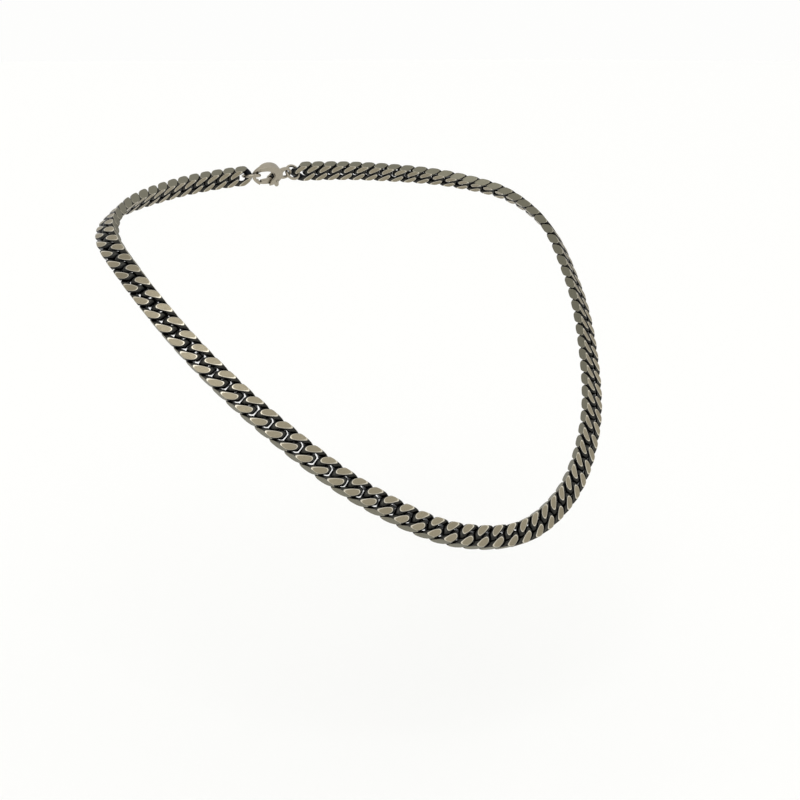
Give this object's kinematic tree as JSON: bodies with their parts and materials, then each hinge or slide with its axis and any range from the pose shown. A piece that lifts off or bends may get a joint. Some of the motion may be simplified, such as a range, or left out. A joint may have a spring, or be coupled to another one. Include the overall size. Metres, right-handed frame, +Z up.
{
  "type": "chain necklace",
  "caption": "Flat-cut curb chain necklace in a blackened, brushed finish, closed at the nape with a sprung lobster claw clasp.",
  "frame": {"origin": "on the wearer's neck axis, level with the links that lie on the shoulders", "axes": "+Z up, the front of the necklace faces -Y, the wearer's left is +X"},
  "size_m": [0.1632, 0.1351, 0.0956],
  "materials": {
    "blackened_chain": "brushed flats over blackened recesses",
    "clasp_metal": "satin, lightly blackened",
    "spring_steel": "bright drawn wire"
  },
  "bodies": {
    "shoulder_span": {"left_links_14": "blackened_chain", "right_links_14": "blackened_chain", "left_links_15": "blackened_chain", "right_links_15": "blackened_chain", "left_links_16": "blackened_chain", "right_links_16": "blackened_chain"},
    "front_span_1": {"left_links_13": "blackened_chain", "right_links_13": "blackened_chain", "left_links_12": "blackened_chain", "right_links_12": "blackened_chain"},
    "front_span_2": {"left_links_11": "blackened_chain", "right_links_11": "blackened_chain", "left_links_10": "blackened_chain", "right_links_10": "blackened_chain"},
    "front_span_3": {"left_links_09": "blackened_chain", "right_links_09": "blackened_chain", "left_links_08": "blackened_chain", "right_links_08": "blackened_chain"},
    "front_span_4": {"left_links_07": "blackened_chain", "right_links_07": "blackened_chain", "left_links_06": "blackened_chain", "right_links_06": "blackened_chain"},
    "front_span_5": {"left_links_05": "blackened_chain", "right_links_05": "blackened_chain", "left_links_04": "blackened_chain", "right_links_04": "blackened_chain"},
    "front_span_6": {"left_links_03": "blackened_chain", "right_links_03": "blackened_chain", "left_links_02": "blackened_chain", "right_links_02": "blackened_chain", "left_links_01": "blackened_chain", "right_links_01": "blackened_chain"},
    "nape_span_1": {"left_links_17": "blackened_chain", "right_links_17": "blackened_chain", "left_links_18": "blackened_chain", "right_links_18": "blackened_chain"},
    "nape_span_2": {"left_links_19": "blackened_chain", "right_links_19": "blackened_chain", "left_links_20": "blackened_chain", "right_links_20": "blackened_chain"},
    "nape_span_3": {"left_links_21": "blackened_chain", "right_links_21": "blackened_chain", "left_links_22": "blackened_chain", "right_links_22": "blackened_chain"},
    "nape_span_4": {"left_links_23": "blackened_chain", "right_links_23": "blackened_chain", "left_links_24": "blackened_chain", "right_links_24": "blackened_chain"},
    "end_rings": {"clasp_jump_ring": "clasp_metal", "catch_ring": "clasp_metal"},
    "clasp": {"clasp_body": "clasp_metal", "lever_pin": "clasp_metal", "clasp_spring": "spring_steel"},
    "clasp_lever": {"clasp_lever": "clasp_metal"}
  },
  "joints": [
    {"name": "front_flex_1", "type": "hinge", "parent": "shoulder_span", "child": "front_span_1", "pos_m": [0, -0.01218, -0.00707], "axis": [-1, 0, 0], "range_deg": [0, 6]},
    {"name": "front_flex_2", "type": "hinge", "parent": "front_span_1", "child": "front_span_2", "pos_m": [0, -0.02687, -0.0196], "axis": [-1, 0, 0], "range_deg": [0, 6]},
    {"name": "front_flex_3", "type": "hinge", "parent": "front_span_2", "child": "front_span_3", "pos_m": [0, -0.04038, -0.03217], "axis": [-1, 0, 0], "range_deg": [0, 6]},
    {"name": "front_flex_4", "type": "hinge", "parent": "front_span_3", "child": "front_span_4", "pos_m": [0, -0.0528, -0.04446], "axis": [-1, 0, 0], "range_deg": [0, 6]},
    {"name": "front_flex_5", "type": "hinge", "parent": "front_span_4", "child": "front_span_5", "pos_m": [0, -0.06391, -0.05602], "axis": [-1, 0, 0], "range_deg": [0, 6]},
    {"name": "front_flex_6", "type": "hinge", "parent": "front_span_5", "child": "front_span_6", "pos_m": [0, -0.07245, -0.06618], "axis": [-1, 0, 0], "range_deg": [0, 6]},
    {"name": "nape_flex_1", "type": "hinge", "parent": "shoulder_span", "child": "nape_span_1", "pos_m": [0, 0.01422, 0.0061], "axis": [1, 0, 0], "range_deg": [0, 6]},
    {"name": "nape_flex_2", "type": "hinge", "parent": "nape_span_1", "child": "nape_span_2", "pos_m": [0, 0.03041, 0.01007], "axis": [1, 0, 0], "range_deg": [0, 6]},
    {"name": "nape_flex_3", "type": "hinge", "parent": "nape_span_2", "child": "nape_span_3", "pos_m": [0, 0.04126, 0.01249], "axis": [1, 0, 0], "range_deg": [0, 6]},
    {"name": "nape_flex_4", "type": "hinge", "parent": "nape_span_3", "child": "nape_span_4", "pos_m": [0, 0.04803, 0.01408], "axis": [1, 0, 0], "range_deg": [0, 6]},
    {"name": "ring_swing", "type": "hinge", "parent": "nape_span_4", "child": "end_rings", "pos_m": [0, 0.05069, 0.01483], "axis": [1, 0, 0], "range_deg": [-5, 5]},
    {"name": "clasp_swing", "type": "hinge", "parent": "end_rings", "child": "clasp", "pos_m": [0, 0.05069, 0.01483], "axis": [1, 0, 0], "range_deg": [-10, 10]},
    {"name": "lever_press", "type": "hinge", "parent": "clasp", "child": "clasp_lever", "pos_m": [0.0019, 0.05166, 0.01308], "axis": [0, 0.8743, 0.4853], "range_deg": [0, 25], "stiffness_Nm_per_rad": 0.004, "springref_deg": -1.15, "deforming": ["clasp_spring"]}
  ]
}
